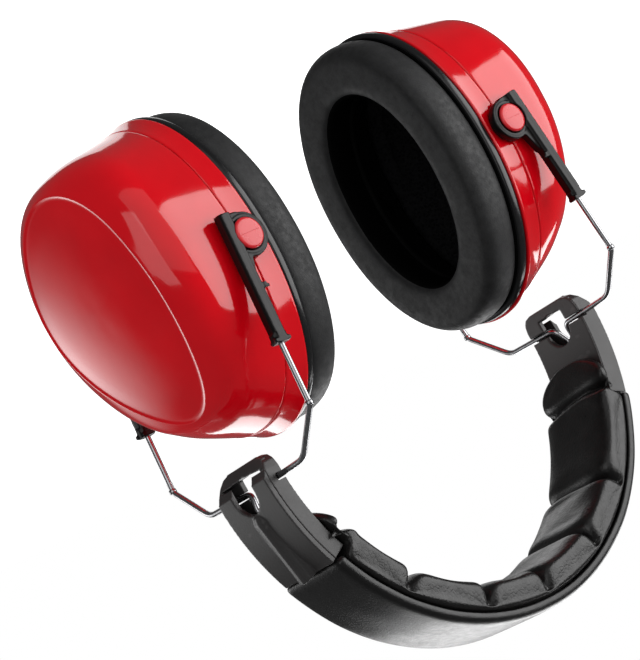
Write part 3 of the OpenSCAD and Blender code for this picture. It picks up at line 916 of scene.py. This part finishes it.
def make_pad():
    """Gathered leatherette pad: pillows blown up between stitched-down folds."""
    steps, around = 210, 60
    rings = []
    weights, pillow = {}, {}
    for k in range(steps + 1):
        angle = PAD_START + (PAD_STOP - PAD_START) * k / steps
        from_end = min(angle - PAD_START, PAD_STOP - angle)
        tongue = min(1.0, from_end / 12.0)
        reach = math.sqrt(max(0.02, 1 - (1 - min(1, from_end / 8.0)) ** 2))
        covered = SEAM_A + 1 < angle < 179 - SEAM_A
        top_r = PAD_TOP_R if covered else TONGUE_TOP_R
        low_r = PAD_LOW_R + 0.1 + 3.6 * (1 - tongue)
        ring = []
        for i in range(around):
            a = 2 * math.pi * i / around
            s, c = math.sin(a), math.cos(a)
            y = signed_pow(c, 0.5 if s > 0 else 0.34)
            plump, gap = gathered(angle, y * 16)
            half = (PAD_HALF - FOLD_NIP * (1 - plump) * (1 if s > -0.4 else 0)) * reach
            if covered and s < -0.7:
                half = min(half, PAD_TUCK)
            mid, thick = (top_r + low_r) / 2, (top_r - low_r) / 2
            r = mid - thick * signed_pow(s, 0.55)
            if s > -0.1:
                r += (1 - plump) * (FOLD_PULL + FOLD_EDGE_PULL * abs(y) ** 3)
            if s < -0.45 or k in (0, steps) or gap < STITCHED:
                weights[k * around + i] = 1.0
            elif gap < SLACK:
                weights[k * around + i] = 0.5
            pillow[k * around + i] = min(1.0, max(0.0, (gap - SLACK) / 3.0))
            ring.append(on_arc(angle, r, half * y))
        rings.append(ring)
    piece = new_piece("crown_pad", *skin(rings), PAD)
    outward(piece)
    simulate(piece, 20, 4.2, weights, 1.9, grow=-0.004, stiff=12, bend=1.6, mass=0.2)
    calm = piece.vertex_groups.new(name="calm")
    for index, share in pillow.items():
        calm.add([index], share, "REPLACE")
    relax = piece.modifiers.new("relax", "SMOOTH")
    relax.factor, relax.iterations = 0.5, 5
    relax.vertex_group = "calm"
    refine(piece)
    return settle(piece, "headband", "pad_leatherette", "band_pad_cover", "band_pad_foam")


# ---------------------------------------------------------------- studio

def soft_light(name, aim, towards, distance, wide, tall, radiance):
    """Rectangular softbox, facing the object from a given direction."""
    data = bpy.data.lights.new(name, "AREA")
    data.shape = "RECTANGLE"
    data.size, data.size_y = wide, tall
    data.energy = radiance * math.pi * wide * tall
    lamp = bpy.data.objects.new(name, data)
    bpy.context.scene.collection.objects.link(lamp)
    back = towards.normalized()
    lamp.location = aim + back * distance
    lamp.rotation_mode = "QUATERNION"
    lamp.rotation_quaternion = (-back).to_track_quat("-Z", "Y")
    return lamp


def fade_edges(lamp):
    """Makes a softbox fall off smoothly from its middle to its edges."""
    lamp.data.use_nodes = True
    tree = lamp.data.node_tree
    where = tree.nodes.new("ShaderNodeNewGeometry")
    apart = tree.nodes.new("ShaderNodeSeparateXYZ")
    tree.links.new(where.outputs["Parametric"], apart.inputs[0])
    both = tree.nodes.new("ShaderNodeMath")
    both.operation = "MULTIPLY"
    for k in (0, 1):
        ramp = tree.nodes.new("ShaderNodeValToRGB")
        ramp.color_ramp.interpolation = "EASE"
        ramp.color_ramp.elements[0].color = (0, 0, 0, 1)
        ramp.color_ramp.elements[1].color = (0, 0, 0, 1)
        ramp.color_ramp.elements.new(0.5).color = (1, 1, 1, 1)
        tree.links.new(apart.outputs[k], ramp.inputs["Fac"])
        tree.links.new(ramp.outputs["Color"], both.inputs[k])
    tree.links.new(both.outputs[0], tree.nodes["Emission"].inputs["Strength"])


def make_studio():
    """Softboxes, a white surround and a pale floor."""
    centre = Vector((0, 0, 0.045))

    def seen(right, up, back):
        return CAM_RIGHT * right + CAM_UP * up + CAM_BACK * back

    soft_light("side_softbox", centre, seen(0.81, 0.56, 0.15), 1.0, 0.95, 0.95, 3.4)
    soft_light("key_softbox", centre, seen(0.05, 0.60, 0.80), 1.4, 1.8, 1.4, 0.5)
    low = soft_light("low_softbox", centre, Vector((-0.39, -0.916, 0.03)), 0.9, 0.75, 0.75, 3.6)
    fade_edges(low)
    soft_light("end_softbox", centre, Vector((0.33, -0.70, 0.63)), 1.0, 0.42, 0.42, 4.2)
    soft_light("under_softbox", centre, Vector((0.65, -0.32, 0.68)), 1.0, 0.7, 0.65, 4.4)
    soft_light("back_softbox", centre, Vector((0.565, -0.673, -0.474)), 1.0, 0.60, 0.60, 1.2)
    soft_light("fill_softbox", centre, seen(-0.45, 0.05, 0.89), 1.1, 0.50, 0.80, 1.2)

    # white behind the object, dim in reflections, fairly bright as soft fill
    world = bpy.data.worlds.new("studio")
    bpy.context.scene.world = world
    world.use_nodes = True
    world.cycles.sampling_method = "NONE"
    tree = world.node_tree
    ray = tree.nodes.new("ShaderNodeLightPath")

    def shade(strength):
        node = tree.nodes.new("ShaderNodeBackground")
        node.inputs["Color"].default_value = (1, 1, 1, 1)
        node.inputs["Strength"].default_value = strength
        return node.outputs[0]

    def choose(test, otherwise, then):
        node = tree.nodes.new("ShaderNodeMixShader")
        tree.links.new(ray.outputs[test], node.inputs[0])
        tree.links.new(otherwise, node.inputs[1])
        tree.links.new(then, node.inputs[2])
        return node.outputs[0]

    sky = choose("Is Camera Ray", choose("Is Glossy Ray", shade(0.45), shade(0.10)), shade(1.0))
    tree.links.new(sky, tree.nodes["World Output"].inputs["Surface"])

    n = Nodes("pale_floor")
    n.color(n.ramp(n.noise(6, 2), [(0.3, 0.86), (0.7, 0.9)]))
    n.set(Roughness=0.9, Specular_IOR_Level=0.1, Emission_Strength=1.0)
    n.bsdf.inputs["Emission Color"].default_value = (1, 1, 1, 1)
    half = 4000
    floor_z = -190
    floor = new_piece("floor", [(-half, -half, floor_z), (half, -half, floor_z), (half, half, floor_z),
                                (-half, half, floor_z)], [(0, 1, 2, 3)], n.mat)
    floor.visible_diffuse = floor.visible_glossy = False
    bpy.context.scene.view_settings.view_transform = "Standard"


# ---------------------------------------------------------------- build

for side in SIDES:
    make_cup(side)
    make_rim(side)
    make_backplate(side)
    make_cushion(side)
    make_liner(side)
    for end in ENDS:
        make_button(side, end)
for end in ENDS:
    make_wire(end)
make_hangers()
make_end_covers()
make_band_cover()
make_pad()
make_studio()
